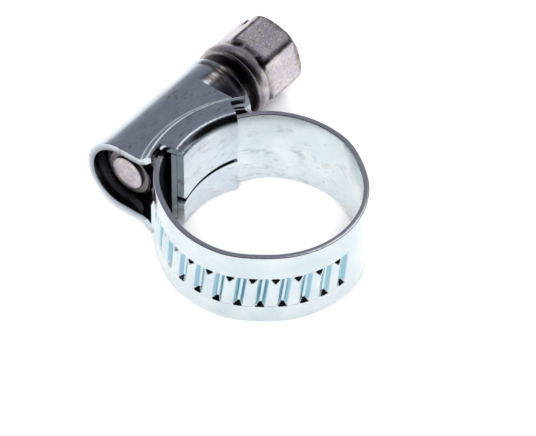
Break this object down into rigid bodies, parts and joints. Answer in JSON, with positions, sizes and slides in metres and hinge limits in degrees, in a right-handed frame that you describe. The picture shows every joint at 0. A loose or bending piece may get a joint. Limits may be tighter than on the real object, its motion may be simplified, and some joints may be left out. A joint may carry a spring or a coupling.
{
  "type": "hose clamp",
  "caption": "Worm drive hose clip: a thread-pressed steel band loops through a folded housing, and a hex head screw draws it tight round a hose.",
  "frame": {"origin": "centre of the hose seat, halfway across the band's width", "axes": "+Z along the hose, +X along the screw towards its head, +Y from the hose seat towards the housing"},
  "size_m": [0.0309, 0.0296, 0.0108],
  "materials": {
    "housing_steel": "bright zinc plated pressed sheet",
    "band_steel": "bright zinc plated strip",
    "screw_steel": "duller plated, cold headed screw"
  },
  "bodies": {
    "clip_frame": {"housing": "housing_steel", "band_fixed_end": "band_steel"},
    "screw": {"worm_screw": "screw_steel"},
    "right_length": {"band_right_length": "band_steel"},
    "left_length": {"band_left_length": "band_steel"},
    "threaded_end": {"band_threaded_end": "band_steel"}
  },
  "joints": [
    {"name": "screw_turn", "type": "hinge", "parent": "clip_frame", "child": "screw", "pos_m": [0, 0.0152, 0], "axis": [-1, 0, 0], "range_deg": [0, 360]},
    {"name": "right_bend", "type": "hinge", "parent": "clip_frame", "child": "right_length", "pos_m": [0.00891, 0.00514, 0], "axis": [0, 0, -1], "range_deg": [0, 3.27]},
    {"name": "bottom_bend", "type": "hinge", "parent": "right_length", "child": "left_length", "pos_m": [0.00066, -0.00938, 0], "axis": [0, 0, -1], "range_deg": [0, 3.91]},
    {"name": "left_bend", "type": "hinge", "parent": "left_length", "child": "threaded_end", "pos_m": [-0.00874, 0.00546, 0], "axis": [0, 0, -1], "range_deg": [0, 3.63]}
  ],
  "couplings": [
    {"joint": "right_bend", "follows": "screw_turn", "ratio": 0.009072},
    {"joint": "bottom_bend", "follows": "screw_turn", "ratio": 0.010834},
    {"joint": "left_bend", "follows": "screw_turn", "ratio": 0.01006}
  ]
}
